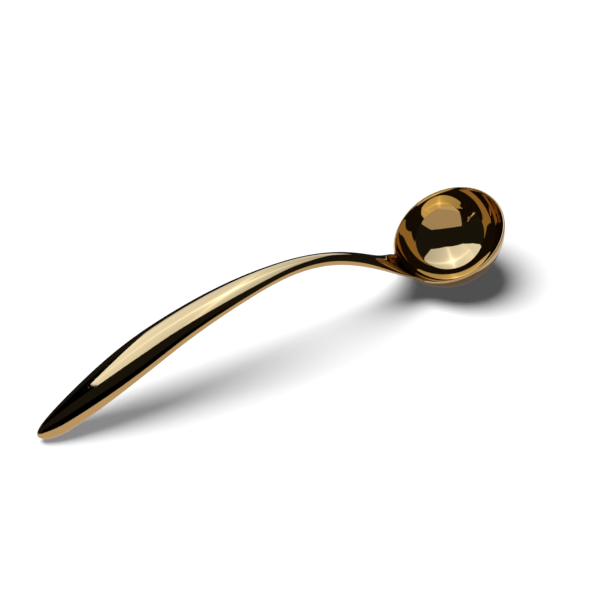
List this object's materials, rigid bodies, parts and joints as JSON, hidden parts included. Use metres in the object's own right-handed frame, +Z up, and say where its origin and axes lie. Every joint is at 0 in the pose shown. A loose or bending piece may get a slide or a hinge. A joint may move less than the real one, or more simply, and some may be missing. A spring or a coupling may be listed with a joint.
{
  "type": "serving ladle",
  "caption": "One-hand serving ladle: a round drawn cup on a curved forged neck, with a hollow arched handle made of two welded half shells.",
  "frame": {"origin": "on the surface the ladle stands on, under the middle of its length and width", "axes": "+X from the handle's tip to the cup, +Y across, +Z up; the ladle is the same on both sides of Y = 0"},
  "size_m": [0.3473, 0.0798, 0.0639],
  "materials": {
    "gold_coated_steel": "mirror-polished stainless steel with a gold-coloured vapour coating",
    "gold_coated_weld": "weld ground flush, polished and coated with the rest"
  },
  "bodies": {
    "root": {"cup": "gold_coated_steel", "neck": "gold_coated_steel", "cup_weld": "gold_coated_weld", "handle_top_shell": "gold_coated_steel", "handle_bottom_shell": "gold_coated_steel", "handle_seam_weld": "gold_coated_weld", "handle_collar_weld": "gold_coated_weld"}
  },
  "joints": []
}
